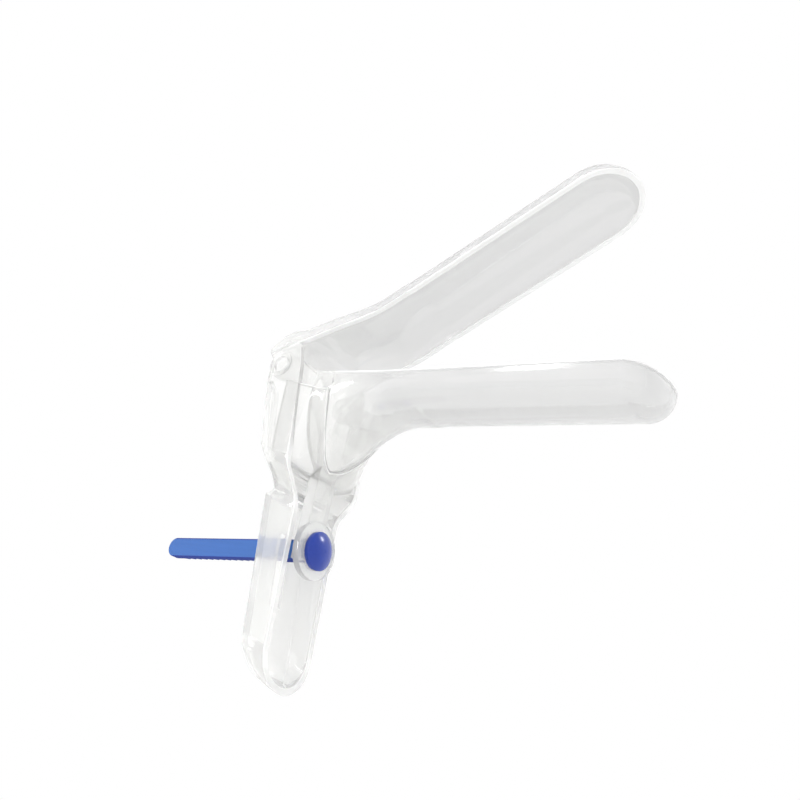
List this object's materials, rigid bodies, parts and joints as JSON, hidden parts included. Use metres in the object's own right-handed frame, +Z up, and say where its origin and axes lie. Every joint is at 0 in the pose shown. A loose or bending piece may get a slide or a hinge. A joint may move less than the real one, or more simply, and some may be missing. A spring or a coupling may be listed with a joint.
{
  "type": "bivalve speculum",
  "caption": "Clear moulded bivalve speculum with two hinged blades, squeeze handle and a blue push-through locking pin with a domed head.",
  "frame": {"origin": "middle of the hinge line between the two valves, at the top of the viewing mouth", "axes": "+X along the lower blade towards its tip, +Z up, +Y across the blades; the rest pose is the fully opened one of the picture"},
  "size_m": [0.1588, 0.0368, 0.1577],
  "materials": {
    "clear_polystyrene": "clear moulded polystyrene, glossy",
    "blue_plastic": "opaque blue moulded plastic, satin gloss"
  },
  "bodies": {
    "lower": {"lower_valve": "clear_polystyrene"},
    "upper": {"upper_valve": "clear_polystyrene"},
    "pin": {"locking_pin": "blue_plastic"}
  },
  "joints": [
    {"name": "blade_hinge", "type": "hinge", "parent": "lower", "child": "upper", "pos_m": [0, 0, 0], "axis": [0, -1, 0], "range_deg": [-32, 0]},
    {"name": "pin_slide", "type": "slide", "parent": "lower", "child": "pin", "axis": [0.9991, 0, 0.0419], "range_m": [0, 0.045]}
  ]
}
